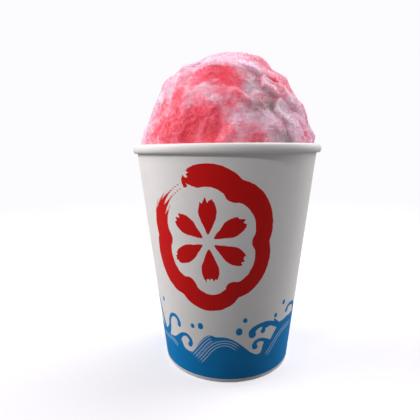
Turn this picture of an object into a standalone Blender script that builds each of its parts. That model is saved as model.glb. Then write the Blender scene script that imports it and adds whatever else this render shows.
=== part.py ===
"""Shaved ice in a paper cup, for Blender 4.5. Metres, +Z up, the printed front towards -Y.

The origin is the centre of the ring that the cup stands on. There are three pieces: the
cup's wall with its rolled lip and turned-in hem, the raised floor whose skirt sits in that
hem, and the shaved ice with its syrup, which fills the cup and stands over it as a craggy
dome. Directions on the dome are a heading, in degrees from the front towards +X, and an
elevation, in degrees above the rim.
"""

import math

import bpy
import numpy as np

MM = 0.001

# The cup. The rim's outer diameter of 90 mm is the driving size.
RIM_RADIUS = 45.0 * MM
CUP_HEIGHT = 106.5 * MM
FOOT_RADIUS = 31.4 * MM
PAPER = 0.45 * MM
LIP_WIDTH = 2.35 * MM
LIP_HEIGHT = 3.9 * MM
LIP_END = math.radians(-115)
FLOOR_HEIGHT = 8.0 * MM
HEM_HEIGHT = 6.8 * MM
FOLD_RADIUS = 0.2 * MM
GAP = 0.3 * MM

# The print: bare paper at the foot, then a blue wave as high as the middle of its crests.
STRIPE_TOP = 1.7 * MM
WAVE_TOP = 21.0 * MM

# The ice: a dome on a shoulder just under the rim, over a plug that fills the cup.
DOME_RADIUS = 41.3 * MM
DOME_HEIGHT = 45.0 * MM
DOME_POWER = 1.28
DOME_FOOT = CUP_HEIGHT - 2.0 * MM
SHOULDER = 1.7 * MM
PLUG_ROWS = 4
CRAG_FADE = 5.0 * MM

# Crags are flat facets, taller than wide, each with its own level and tilt. Their centres
# climb the dome in a spiral of golden turns, each pushed off its place by up to the jitter.
CELLS = 120
GOLDEN_TURN = 137.5
CELL_JITTER = 25
CELL_STRETCH = 0.6
CELL_EDGE = 150
CELL_LEVEL = 0.95 * MM
CELL_TILT = 4.5 * MM
SEED = 46

# Each ledge is a path of (heading, elevation), how far the ice steps out on the right-hand
# side of the path, and how far the step takes to die away. The brow and the crest on the
# right are the lower edge of the cap.
LEDGE_EDGE = 0.9 * MM
RIGHT_CREST = ((51, 0), (51, 13), (45, 17), (42, 22), (49, 31), (38, 39), (43, 47), (34, 51))
BROW = ((34, 51), (21, 53), (6, 54), (-11, 53), (-37, 55), (-58, 60))
LEDGES = (
    (RIGHT_CREST, 0.9 * MM, 6.0 * MM),
    (BROW, 0.25 * MM, 6.0 * MM),
    (((-33, 0), (-28, 17), (-31, 34), (-35, 47), (-48, 56)), 0.65 * MM, 6.0 * MM),
    (((-52, 2), (-46, 20), (-40, 30), (-46, 46)), 0.65 * MM, 5.0 * MM),
    (((66, 0), (64, 14), (57, 22), (60, 31), (59, 43), (70, 54)), 0.5 * MM, 5.0 * MM),
)

# Lumps and dents: heading, elevation, height and radius.
LUMPS = (
    (-67, 21, -2.8 * MM, 4.0 * MM),
    (-64, 46, 2.0 * MM, 5.0 * MM),
    (-64, 58, -1.8 * MM, 4.0 * MM),
    (-48, 70, -2.3 * MM, 6.5 * MM),
    (-68, 8, -0.9 * MM, 8.0 * MM),
    (-10, 80, -0.8 * MM, 5.0 * MM),
    (45, 77, -0.9 * MM, 6.0 * MM),
    (70, 69, 0.5 * MM, 6.0 * MM),
    (78, 57, -1.5 * MM, 3.5 * MM),
    (83, 49, 0.9 * MM, 3.5 * MM),
    (84, 40, -1.2 * MM, 4.0 * MM),
    (88, 35, -1.7 * MM, 3.5 * MM),
    (86, 16, -1.3 * MM, 3.0 * MM),
    (86, 8, 0.8 * MM, 4.0 * MM),
    (37, 12, 1.1 * MM, 4.5 * MM),
    (41, 27, -0.9 * MM, 4.0 * MM),
)

CUP_SEGMENTS = 64
ICE_SEGMENTS = 108
DOME_ROWS = 30
LIP_STEPS = 8


def linear(hex_colour):
    """A colour written as sRGB hex, as linear red, green, blue and alpha."""
    channels = [int(hex_colour[i : i + 2], 16) / 255 for i in (1, 3, 5)]
    return [c / 12.92 if c < 0.04045 else ((c + 0.055) / 1.055) ** 2.4 for c in channels] + [1.0]


def wall_outside(z):
    """Radius of the wall's outer face at a height: a straight cone up to the lip."""
    top = RIM_RADIUS - LIP_WIDTH + PAPER
    return FOOT_RADIUS + (top - FOOT_RADIUS) * z / (CUP_HEIGHT - LIP_HEIGHT / 2)


def lip_arc(inset, start, end, steps):
    """Points along the lip's oval, drawn in by inset, from one angle to another."""
    angles = np.linspace(start, end, steps)
    across = RIM_RADIUS - LIP_WIDTH / 2 + (LIP_WIDTH / 2 - inset) * np.cos(angles)
    up = CUP_HEIGHT - LIP_HEIGHT / 2 + (LIP_HEIGHT / 2 - inset) * np.sin(angles)
    return list(zip(across.tolist(), up.tolist()))


def wall_profile():
    """The sheet's outline: over the rolled lip, down outside, under the hem and up inside."""
    half_turn = math.pi
    hem_outside = wall_outside(HEM_HEIGHT) - 2 * (PAPER + GAP)
    slot_floor = wall_outside(PAPER) - 2 * (PAPER + GAP)
    outline = lip_arc(0, half_turn / 2, LIP_END, LIP_STEPS + 2)
    outline += lip_arc(PAPER, LIP_END, half_turn, LIP_STEPS + 3)
    outline += [(wall_outside(z), z) for z in (WAVE_TOP, STRIPE_TOP, FOLD_RADIUS)]
    outline += [(FOOT_RADIUS - FOLD_RADIUS, 0)]
    outline += [(slot_floor - PAPER + FOLD_RADIUS, 0), (slot_floor - PAPER, FOLD_RADIUS)]
    outline += [(hem_outside - PAPER, HEM_HEIGHT), (hem_outside, HEM_HEIGHT)]
    outline += [(slot_floor, PAPER), (wall_outside(PAPER) - PAPER, PAPER)]
    outline += lip_arc(0, half_turn, half_turn / 2, LIP_STEPS // 2)[:-1]
    return outline


def floor_profile():
    """The raised floor, a disc, with the skirt that hangs from its edge into the hem."""
    top = FLOOR_HEIGHT + PAPER
    foot = PAPER + GAP

    def edge(z):
        return wall_outside(z) - PAPER - GAP

    return [
        (0, top),
        (edge(top) - PAPER, top),
        (edge(FLOOR_HEIGHT), FLOOR_HEIGHT),
        (edge(foot), foot),
        (edge(foot) - PAPER, foot),
        (edge(FLOOR_HEIGHT - PAPER) - PAPER, FLOOR_HEIGHT - PAPER),
        (edge(FLOOR_HEIGHT) - 2 * PAPER, FLOOR_HEIGHT),
        (0, FLOOR_HEIGHT),
    ]


def dome_arc(rows):
    """The smooth dome from its top down to its foot, in rows the same distance apart."""
    fine = np.linspace(math.pi / 2, 0, 600)
    radius = DOME_RADIUS * np.cos(fine)
    height = DOME_FOOT + DOME_HEIGHT * np.sin(fine) ** DOME_POWER
    radius[0] = 0
    along = np.concatenate([[0], np.cumsum(np.hypot(np.diff(radius), np.diff(height)))])
    even = np.linspace(0, along[-1], rows)
    return list(zip(np.interp(even, along, radius).tolist(), np.interp(even, along, height).tolist()))


def ice_profile():
    """The dome, the shoulder under it, the plug inside the cup and its flat bottom."""
    bottom = FLOOR_HEIGHT + PAPER + GAP

    def against_wall(z):
        return wall_outside(z) - PAPER - GAP

    shoulder_foot = DOME_FOOT - SHOULDER
    halfway = (DOME_RADIUS + against_wall(shoulder_foot)) / 2
    outline = dome_arc(DOME_ROWS)
    outline += [(halfway, DOME_FOOT - SHOULDER / 3)]
    plug = np.linspace(shoulder_foot, bottom + PAPER, PLUG_ROWS).tolist()
    outline += [(against_wall(z), z) for z in plug]
    outline += [(against_wall(bottom) - PAPER, bottom), (0, bottom)]
    return outline


def unit(heading, elevation):
    """The unit vector of a heading and an elevation in degrees, which may be arrays."""
    h = np.radians(heading)
    e = np.radians(elevation)
    return np.stack([np.sin(h) * np.cos(e), -np.cos(h) * np.cos(e), np.sin(e)], axis=-1)


def cell_relief(directions):
    """Flat facets: each seeded centre has a plane, and a point takes its nearest centre's."""
    rng = np.random.default_rng(SEED)
    turn = GOLDEN_TURN * np.arange(CELLS) + rng.uniform(-CELL_JITTER, CELL_JITTER, CELLS)
    height = (np.arange(CELLS) + rng.uniform(0, 1, CELLS)) / CELLS
    centres = unit(turn, np.degrees(np.arcsin(height))) * [1, 1, CELL_STRETCH]
    level = rng.uniform(-CELL_LEVEL, CELL_LEVEL, CELLS)
    tilt = rng.normal(0, CELL_TILT, (CELLS, 3))
    away = (directions * [1, 1, CELL_STRETCH])[:, None, :] - centres
    nearness = -CELL_EDGE * (away**2).sum(axis=2)
    share = np.exp(nearness - nearness.max(axis=1, keepdims=True))
    share /= share.sum(axis=1, keepdims=True)
    return (share * (level + (away * tilt).sum(axis=2))).sum(axis=1)


def degrees(length):
    """A length on the dome as the angle that it spans from the dome's centre."""
    return math.degrees(length / DOME_RADIUS)


def ledge_relief(directions, path, rise, run):
    """A step along a path: up on one side, down on the other, dying away over the run."""
    elevation = np.degrees(np.arcsin(np.clip(directions[:, 2], -1, 1)))
    heading = np.degrees(np.arctan2(directions[:, 0], -directions[:, 1]))
    nearest = np.full(len(directions), np.inf)
    side = np.zeros(len(directions))
    for (h0, e0), (h1, e1) in zip(path, path[1:]):
        squeeze = math.cos(math.radians((e0 + e1) / 2))
        run_h, run_e = (h1 - h0) * squeeze, e1 - e0
        from_h, from_e = (heading - h0) * squeeze, elevation - e0
        length = math.hypot(run_h, run_e)
        along = np.clip((from_h * run_h + from_e * run_e) / length**2, 0, 1)
        distance = np.hypot(from_h - along * run_h, from_e - along * run_e)
        closer = distance < nearest
        nearest = np.where(closer, distance, nearest)
        side = np.where(closer, (from_h * run_e - from_e * run_h) / length, side)
    return rise * np.tanh(side / degrees(LEDGE_EDGE)) * np.exp(-nearest / degrees(run))


def lump_relief(directions):
    """Round lumps and dents, each a bell on the dome."""
    total = np.zeros(len(directions))
    for heading, elevation, height, radius in LUMPS:
        apart = np.linalg.norm(directions - unit(heading, elevation), axis=1) * DOME_RADIUS
        total += height * np.exp(-((apart / radius) ** 2))
    return total


def crag_relief(directions):
    """How far the ice stands out of the smooth dome in each direction from its foot's centre."""
    total = cell_relief(directions) + lump_relief(directions)
    for path, rise, run in LEDGES:
        total += ledge_relief(directions, path, rise, run)
    return total


def plain_material(name, colour, roughness, subsurface=0.0):
    """A Principled material of one colour."""
    material = bpy.data.materials.new(name)
    material.use_nodes = True
    shader = material.node_tree.nodes["Principled BSDF"]
    shader.inputs["Base Color"].default_value = linear(colour)
    shader.inputs["Roughness"].default_value = roughness
    shader.inputs["Subsurface Weight"].default_value = subsurface
    material.diffuse_color = linear(colour)
    return material


def printed_material():
    """White coated paper with the blue band of the waves, by height."""
    material = plain_material("printed_paper", "#f3f2ef", 0.35)
    nodes, links = material.node_tree.nodes, material.node_tree.links
    place = nodes.new("ShaderNodeTexCoord")
    split = nodes.new("ShaderNodeSeparateXYZ")
    share = nodes.new("ShaderNodeMath")
    share.operation = "DIVIDE"
    share.inputs[1].default_value = CUP_HEIGHT
    ramp = nodes.new("ShaderNodeValToRGB")
    ramp.color_ramp.interpolation = "CONSTANT"
    blue = ramp.color_ramp.elements[1]
    blue.position, blue.color = STRIPE_TOP / CUP_HEIGHT, linear("#0f6cab")
    ramp.color_ramp.elements[0].color = linear("#f3f2ef")
    ramp.color_ramp.elements.new(WAVE_TOP / CUP_HEIGHT).color = linear("#f3f2ef")
    links.new(place.outputs["Object"], split.inputs[0])
    links.new(split.outputs["Z"], share.inputs[0])
    links.new(share.outputs[0], ramp.inputs[0])
    links.new(ramp.outputs[0], nodes["Principled BSDF"].inputs["Base Color"])
    return material


def turned(name, outline, segments, material, collection):
    """An outline turned about Z by a Screw. One that starts on the axis ends on it."""
    count = len(outline)
    edges = [(i, i + 1) for i in range(count - 1)]
    if outline[0][0] > 0:
        edges.append((count - 1, 0))
    mesh = bpy.data.meshes.new(name)
    mesh.from_pydata([(r, 0, z) for r, z in outline], edges, [])
    mesh.materials.append(material)
    piece = bpy.data.objects.new(name, mesh)
    collection.objects.link(piece)
    screw = piece.modifiers.new("Turn", "SCREW")
    screw.steps = segments
    screw.render_steps = segments
    screw.use_merge_vertices = True
    screw.merge_threshold = 0.01 * MM
    return piece


def settle(piece):
    """Replace a piece's outline by the mesh that its modifiers make."""
    graph = bpy.context.evaluated_depsgraph_get()
    mesh = bpy.data.meshes.new_from_object(piece.evaluated_get(graph))
    piece.modifiers.clear()
    piece.data = mesh
    return mesh


def roughen(mesh):
    """Move each point of the dome out or in by its crag relief, fading out at the rim."""
    points = np.empty(len(mesh.vertices) * 3)
    mesh.vertices.foreach_get("co", points)
    points = points.reshape(-1, 3)
    centre = np.array([0, 0, DOME_FOOT])
    above = points[:, 2] > DOME_FOOT + 0.01 * MM
    reach = points[above] - centre
    directions = reach / np.linalg.norm(reach, axis=1, keepdims=True)
    fade = np.clip(reach[:, 2] / CRAG_FADE, 0, 1)
    points[above] += directions * (crag_relief(directions) * fade)[:, None]
    mesh.vertices.foreach_set("co", points.ravel())
    mesh.update()


def main():
    for thing in list(bpy.data.objects):
        bpy.data.objects.remove(thing, do_unlink=True)
    dessert = bpy.data.collections.new("shaved_ice_dessert")
    bpy.context.scene.collection.children.link(dessert)

    wall = turned("cup_wall", wall_profile(), CUP_SEGMENTS, printed_material(), dessert)
    bare_paper = plain_material("bare_paper", "#f0efeb", 0.45)
    floor = turned("cup_base", floor_profile(), CUP_SEGMENTS, bare_paper, dessert)
    syruped_ice = plain_material("syruped_ice", "#e88ba0", 0.5, subsurface=0.3)
    ice = turned("shaved_ice", ice_profile(), ICE_SEGMENTS, syruped_ice, dessert)
    bpy.context.view_layer.update()
    for piece in (wall, floor, ice):
        mesh = settle(piece)
        mesh.shade_smooth()
        mesh.set_sharp_from_angle(angle=math.radians(35))
    roughen(ice.data)


main()
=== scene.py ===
# %% [markdown]
# # Shaved ice in a paper cup
#
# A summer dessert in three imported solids: the paper wall of the cup, its raised floor, and
# the ice. The printed wall becomes a fine sheet with its ink, and the ice a craggy core under
# thousands of loose flakes and grains, soaked unevenly with red syrup. Lengths are in metres,
# +Z is up and the printed front faces -Y. A place is a heading, in degrees from the front
# towards +X, with a height on the cup or an elevation in degrees on the dome.

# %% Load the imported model
import math

import bpy
import numpy as np
from mathutils import Matrix, Vector


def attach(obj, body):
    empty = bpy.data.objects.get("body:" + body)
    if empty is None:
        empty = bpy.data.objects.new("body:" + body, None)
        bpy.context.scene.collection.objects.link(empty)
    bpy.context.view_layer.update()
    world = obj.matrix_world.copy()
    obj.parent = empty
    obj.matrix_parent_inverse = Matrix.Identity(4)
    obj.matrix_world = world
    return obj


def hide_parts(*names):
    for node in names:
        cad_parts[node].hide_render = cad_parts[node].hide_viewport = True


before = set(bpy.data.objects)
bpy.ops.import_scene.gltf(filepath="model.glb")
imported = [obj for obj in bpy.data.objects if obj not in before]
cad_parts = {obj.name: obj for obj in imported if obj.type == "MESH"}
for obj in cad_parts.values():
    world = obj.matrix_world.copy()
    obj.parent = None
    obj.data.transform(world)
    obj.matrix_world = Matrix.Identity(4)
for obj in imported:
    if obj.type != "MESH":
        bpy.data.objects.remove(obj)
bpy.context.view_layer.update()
MM = 0.001
print("nodes:", sorted(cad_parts))

# %% [markdown]
# ## Tools for colours and nodes
#
# Colours are read off as sRGB hex, but shaders want linear light, so one function turns
# them. A second fills a node's sockets with constants or links, and a third adds a node with
# its settings in one call, which keeps a material readable as a list of what feeds what.

# %% Colours and nodes


def linear(hex_colour):
    """An sRGB hex colour as linear red, green, blue and alpha."""
    channels = [int(hex_colour[i : i + 2], 16) / 255 for i in (1, 3, 5)]
    return [c / 12.92 if c < 0.04045 else ((c + 0.055) / 1.055) ** 2.4 for c in channels] + [1.0]


def fill_sockets(node, sockets):
    """Each socket gets a constant, the output that feeds it, or a node's first live output."""
    for key, value in sockets.items():
        if isinstance(value, bpy.types.Node):
            value = next(output for output in value.outputs if output.enabled)
        if isinstance(value, bpy.types.NodeSocket):
            node.id_data.links.new(value, node.inputs[key])
        else:
            node.inputs[key].default_value = value


def add_node(tree, kind, sockets=None, **settings):
    """A shader node with its settings and with what its sockets hold."""
    made = tree.nodes.new("ShaderNode" + kind)
    for key, value in settings.items():
        setattr(made, key, value)
    fill_sockets(made, sockets or {})
    return made


def new_material(name, **constants):
    """A Principled material with constants on the shader's own sockets, its node tree, its
    shader, and the object coordinates that its patterns read."""
    material = bpy.data.materials.new(name)
    material.use_nodes = True
    shader = material.node_tree.nodes["Principled BSDF"]
    fill_sockets(shader, {key.replace("_", " "): value for key, value in constants.items()})
    place = add_node(material.node_tree, "TexCoord").outputs["Object"]
    return material, material.node_tree, shader, place


def set_stops(ramp, stops):
    """Fill a colour ramp with (position, hex colour) stops, the first at 0, the last at 1."""
    elements = ramp.color_ramp.elements
    for position, _ in stops[1:-1]:
        elements.new(position)
    for element, (_, colour) in zip(elements, stops):
        element.color = linear(colour)


print("white paper in linear light:", [round(c, 3) for c in linear("#f3f2ef")[:3]])

# %% [markdown]
# ## Tools for surfaces
#
# Every surface here is round the cup's axis, so it is a stack of rings: an array of points
# in rows and columns. One function turns it into a closed mesh, with a fan of triangles where
# a pole closes it. Numbers that colour the surface, such as the distance to the edge of the
# ink, go into the mesh as attributes, one value for each point.

# %% Rings to mesh


def ring_faces(rows, columns, closed):
    """Faces between rings that run down the outside, turned so that they point outwards."""
    i = np.arange(rows if closed else rows - 1)[:, None]
    j = np.arange(columns)[None, :]
    below, beside = (i + 1) % rows, (j + 1) % columns
    corners = [i * columns + j, below * columns + j, below * columns + beside, i * columns + beside]
    return np.stack(np.broadcast_arrays(*corners), -1).reshape(-1, 4).tolist()


def ring_mesh(name, rings, top=None, bottom=None):
    """A closed mesh from rings of points. Without poles the last ring joins the first."""
    rows, columns, _ = rings.shape
    points = [rings.reshape(-1, 3)]
    faces = ring_faces(rows, columns, closed=top is None)
    here, beside = np.arange(columns), (np.arange(columns) + 1) % columns
    if top is not None:
        points += [np.array([top, bottom])]
        pole, last = rows * columns, (rows - 1) * columns
        faces += np.stack([np.full(columns, pole), here, beside], -1).tolist()
        faces += np.stack([np.full(columns, pole + 1), last + beside, last + here], -1).tolist()
    mesh = bpy.data.meshes.new(name)
    mesh.from_pydata(np.concatenate(points).tolist(), [], faces)
    return mesh


def set_attribute(mesh, name, values):
    """One number for each point of the mesh, which a material reads by its name."""
    attribute = mesh.attributes.new(name, "FLOAT", "POINT")
    attribute.data.foreach_set("value", np.ascontiguousarray(values, np.float32))


def add_object(name, data):
    """An object in the scene for a mesh, a camera or a lamp."""
    made = bpy.data.objects.new(name, data)
    bpy.context.scene.collection.objects.link(made)
    return made


def add_piece(name, mesh, material, *replaced):
    """Put a mesh in the scene as a piece of the dessert, in place of the nodes that it replaces."""
    piece = add_object(name, mesh)
    mesh.materials.append(material)
    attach(piece, "root")
    if replaced:
        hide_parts(*replaced)
    print(name, "has", sum(len(f.vertices) - 2 for f in mesh.polygons), "triangles")
    return piece


def smoothstep(low, high, x):
    """0 below low, 1 above high, and a smooth rise between them."""
    t = np.clip((x - low) / (high - low), 0, 1)
    return t * t * (3 - 2 * t)


# %% [markdown]
# ## Noise in numpy
#
# Ice and paper need the same bumps in every run, at a real size. Value noise does that: each
# corner of a lattice gets a number from a seeded table, and a point blends its eight corners.
# Two or three lattices of falling size add up to a natural roughness.

# %% Value noise
NOISE_TABLE = np.random.default_rng(7).uniform(-1, 1, 4096)


def noise(points, size, offset=0):
    """Smooth noise from -1 to 1 at points (n, 3), with bumps about as wide as size."""
    scaled = points / size + offset * 17.31
    cell = np.floor(scaled).astype(np.int64)
    blend = scaled - cell
    blend = blend * blend * (3 - 2 * blend)
    total = np.zeros(len(points))
    for corner in np.ndindex(2, 2, 2):
        at = cell + corner
        key = (at[:, 0] * 73856093) ^ (at[:, 1] * 19349663) ^ (at[:, 2] * 83492791)
        weight = np.prod(np.where(corner, blend, 1 - blend), axis=1)
        total += weight * NOISE_TABLE[key % len(NOISE_TABLE)]
    return total


def grid_noise(x, y, z, size, offset=0):
    """Noise over a grid of places, whose coordinates are arrays that are broadcast."""
    points = np.stack(np.broadcast_arrays(x, y, z), -1)
    return noise(points.reshape(-1, 3), size, offset).reshape(points.shape[:-1])


def noise_vectors(points, size, first):
    """Three noises as a vector at each point, with offsets that count up from the first."""
    return np.stack([noise(points, size, first + k) for k in range(3)], -1)


def normalised(vectors):
    """The same directions with length 1."""
    return vectors / np.linalg.norm(vectors, axis=1, keepdims=True)


sample = noise(np.random.default_rng(1).normal(0, 9, (999, 3)), 1)
print("noise runs from", round(float(sample.min()), 2), "to", round(float(sample.max()), 2))

# %% [markdown]
# ## The camera
#
# The cup is seen from a little right of its front and from rim height, looking slightly
# down, from as near as 18 cm, so its sides close in towards the foot. The lens follows from
# the picture's angle of view, and a camera turned by half a degree tilts the cup as shown.

# %% Camera
CAMERA_PLACE = (30.8 * MM, -178.9 * MM, 103.1 * MM)
CAMERA_TURN = math.radians(12.36)
CAMERA_DOWN = math.radians(9.06)
CAMERA_ROLL = math.radians(-0.49)
CAMERA_LENS = 31.08

camera_data = bpy.data.cameras.new("camera")
camera_data.lens = CAMERA_LENS
camera_data.clip_start = MM
camera = add_object("camera", camera_data)
turns = Matrix.Rotation(CAMERA_TURN, 4, "Z") @ Matrix.Rotation(math.pi / 2 - CAMERA_DOWN, 4, "X")
camera.matrix_world = Matrix.Translation(CAMERA_PLACE) @ turns @ Matrix.Rotation(CAMERA_ROLL, 4, "Z")
bpy.context.scene.camera = camera
print("the camera sees", round(math.degrees(camera_data.angle), 1), "degrees across")

# %% [markdown]
# ## The sheet of the cup
#
# A paper cup is one printed sheet, rolled into a cone and glued up the back. Its top edge is
# curled outwards into the lip and its foot is folded in round the floor's skirt. The section
# is walked once round: over the lip, down the outside, under the fold, up the hem, and back
# up the inside. Rows are close together where the print is fine. At the back the outer end
# of the sheet lies on the inner one, so the wall steps by a sheet's thickness there.

# %% Section of the sheet
RIM_RADIUS = 45.0 * MM
CUP_HEIGHT = 106.5 * MM
FOOT_RADIUS = 31.4 * MM
PAPER = 0.45 * MM
LIP_WIDTH = 2.35 * MM
LIP_HEIGHT = 3.9 * MM
LIP_END = math.radians(-115)
LIP_ROWS = (22, 16, 8)
HEM_HEIGHT = 6.8 * MM
GAP = 0.3 * MM
FOLD = 0.2 * MM
WALL_TOP = CUP_HEIGHT - LIP_HEIGHT / 2
OUTSIDE = ((WALL_TOP - MM, 43 * MM, 74), (42.4 * MM, 2.2 * MM, 78), (1.9 * MM, FOLD, 6))
INSIDE = (3 * MM, WALL_TOP - 2 * MM, 5)


def wall_outside(z):
    """Radius of the wall's outer face at a height: a straight cone up to the lip."""
    top = RIM_RADIUS - LIP_WIDTH + PAPER
    return FOOT_RADIUS + (top - FOOT_RADIUS) * z / WALL_TOP


def lip_arc(inset, start, end, steps):
    """Radius and height along the lip's oval, drawn in by inset, between two angles."""
    angle = np.linspace(start, end, steps)
    across = RIM_RADIUS - LIP_WIDTH / 2 + (LIP_WIDTH / 2 - inset) * np.cos(angle)
    up = WALL_TOP + (LIP_HEIGHT / 2 - inset) * np.sin(angle)
    return np.stack([across, up], -1)


def sheet_section():
    """The closed section of the sheet as (radius, height), and which rows are its outer face.
    OUTSIDE holds (from, to, rows) down the wall, for the red motif, the waves and the foot."""
    height = np.concatenate([np.linspace(*band) for band in OUTSIDE])
    outside = np.stack([wall_outside(height), height], -1)
    slot_floor = wall_outside(PAPER) - 2 * (PAPER + GAP)
    hem_outside = wall_outside(HEM_HEIGHT) - 2 * (PAPER + GAP)
    foot = [
        (FOOT_RADIUS - 0.3 * FOLD, 0.3 * FOLD),
        (FOOT_RADIUS - FOLD, 0),
        (slot_floor - PAPER + FOLD, 0),
        (slot_floor - PAPER, FOLD),
        (hem_outside - PAPER, HEM_HEIGHT),
        (hem_outside, HEM_HEIGHT),
        (slot_floor, PAPER),
        (wall_outside(PAPER) - PAPER, PAPER),
    ]
    inside_height = np.linspace(*INSIDE)
    inside = np.stack([wall_outside(inside_height) - PAPER, inside_height], -1)
    lip_over = lip_arc(0, math.pi / 2, LIP_END, LIP_ROWS[0])
    lip_under = lip_arc(PAPER, LIP_END, math.pi, LIP_ROWS[1])
    lip_inside = lip_arc(0, math.pi, math.pi / 2, LIP_ROWS[2])[:-1]
    parts = [lip_over, lip_under, outside, np.array(foot), inside, lip_inside]
    first = len(lip_over) + len(lip_under)
    return np.concatenate(parts), slice(first, first + len(outside))


section, outer_rows = sheet_section()
print("the sheet's section has", len(section), "points")

# %% Turn the section and lay the seam
SEAM_EDGE = 184.0
SEAM_STEP = 0.06
SEAM_LAP = 11.0
LAP_FADE = 4.0
LAP_LIFT = 0.7 * PAPER
COLUMNS = 420
WAVER = 0.06 * MM
WAVER_SIZE = 22 * MM
HEM_MARK = 0.07 * MM
HEM_MARK_WIDTH = 0.8 * MM

plain = np.linspace(-180, 180, COLUMNS, endpoint=False)
off_seam = np.abs((plain - SEAM_EDGE + 180) % 360 - 180) > 0.5
seam = SEAM_EDGE - 360
headings = np.sort([*plain[off_seam], seam - SEAM_STEP, seam + SEAM_STEP])


def sheet_rings():
    """The section turned about Z. The lap lifts the outer rows and the lip, the paper wavers a
    little, and the heat that seals the hem leaves a faint dent above the fold."""
    radius, height = section[:, :1], section[:, 1:]
    turn = np.radians(headings)[None, :]
    into_lap = (SEAM_EDGE - headings) % 360
    lap = (1 - smoothstep(SEAM_LAP - LAP_FADE, SEAM_LAP + LAP_FADE, into_lap)) * LAP_LIFT
    faces_out = np.zeros(len(section))
    faces_out[: outer_rows.stop] = 1
    faces_out[LIP_ROWS[0] : outer_rows.start] = 0
    waver = grid_noise(np.sin(turn) * 40 * MM, np.cos(turn) * 40 * MM, height, WAVER_SIZE) * WAVER
    above_hem = smoothstep(HEM_HEIGHT, 3 * HEM_HEIGHT, height)
    below_lip = smoothstep(WALL_TOP, WALL_TOP - 12 * MM, height)
    dent = np.exp(-(((height - HEM_HEIGHT) / HEM_MARK_WIDTH) ** 2)) * HEM_MARK
    out = radius + waver * above_hem * below_lip + faces_out[:, None] * (lap - dent)
    return np.stack(np.broadcast_arrays(out * np.sin(turn), -out * np.cos(turn), height), -1)


sheet = sheet_rings()
sheet_mesh = ring_mesh("printed_sheet", sheet)
sheet_mesh.shade_smooth()
sheet_mesh.set_sharp_from_angle(angle=math.radians(50))
print("the sheet has", *sheet.shape[:2], "rings and columns")

# %% [markdown]
# ## Drawing the print as distances
#
# Ink has a crisp edge, finer than the mesh. So the mesh holds a smooth number, the distance
# in millimetres to the edge of the ink, and the material cuts it at zero, which puts the
# edge between the points. A brush stroke is a curve with a width along it, and its distance
# is the width less the way to the nearest point of the curve. Shapes join by taking the
# larger distance and carve by taking the smaller. The panel repeats every half turn.

# %% Strokes
PANEL = 180.0
STROKE_REACH = 6.0
OFF_INK = -50.0


def to_nearest(apart):
    """Degrees between two headings, the shortest way when the panel repeats."""
    return (apart + PANEL / 2) % PANEL - PANEL / 2


outer = section[outer_rows] / MM
GRID_H, GRID_R, GRID_Z = np.broadcast_arrays(to_nearest(headings), outer[:, :1], outer[:, 1:])
print("the print is worked out at", GRID_H.size, "points")


def spline(knots, count):
    """A smooth curve through knots of any width (Catmull-Rom), as count points."""
    knots = np.asarray(knots, float)
    padded = np.concatenate([[2 * knots[0] - knots[1]], knots, [2 * knots[-1] - knots[-2]]])
    at = np.linspace(0, len(knots) - 1, count)
    i = np.minimum(at.astype(int), len(knots) - 2)
    t = (at - i)[:, None]
    a, b, c, d = padded[i], padded[i + 1], padded[i + 2], padded[i + 3]
    return 0.5 * (2 * b + (c - a) * t + (2 * a - 5 * b + 4 * c - d) * t**2 + (3 * b - a - 3 * c + d) * t**3)


def from_segment(x, y, run_x, run_y):
    """For points (x, y) from a segment's start: the share along it of the nearest place, the
    distance to it, and how far to the right of the segment's line they are."""
    length = np.hypot(run_x, run_y)
    along = np.clip((x * run_x + y * run_y) / length**2, 0, 1)
    away = np.hypot(x - along * run_x, y - along * run_y)
    return along, away, (x * run_y - y * run_x) / length


def stroke(knots, samples=40):
    """Distance into a brush stroke through (heading, height mm, half width mm) knots."""
    best = np.full(GRID_H.shape, OFF_INK)
    curve = spline(knots, samples)
    reach = STROKE_REACH + curve[:, 2].max()
    near_z = (GRID_Z[:, 0] > curve[:, 1].min() - reach) & (GRID_Z[:, 0] < curve[:, 1].max() + reach)
    rows = np.flatnonzero(near_z)
    part = slice(rows[0], rows[-1] + 1)
    for heading, z, half in curve:
        apart = to_nearest(GRID_H[part] - heading)
        away = np.hypot(np.radians(apart) * GRID_R[part], GRID_Z[part] - z)
        best[part] = np.maximum(best[part], half - away)
    return best


def union(*shapes):
    """The largest distance wins, so shapes run together."""
    return np.maximum.reduce(shapes)


# %% [markdown]
# ## The blue waves
#
# The traditional wave border: a solid sea along the foot with rolling crests, curls that
# break from them, spray as dots, and bundles of fine white lines that follow the swell. The
# outline of the sea is a smooth curve through its crests and troughs. Curls are strokes with
# a round end, as of a brush that is pressed down as it stops.

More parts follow.
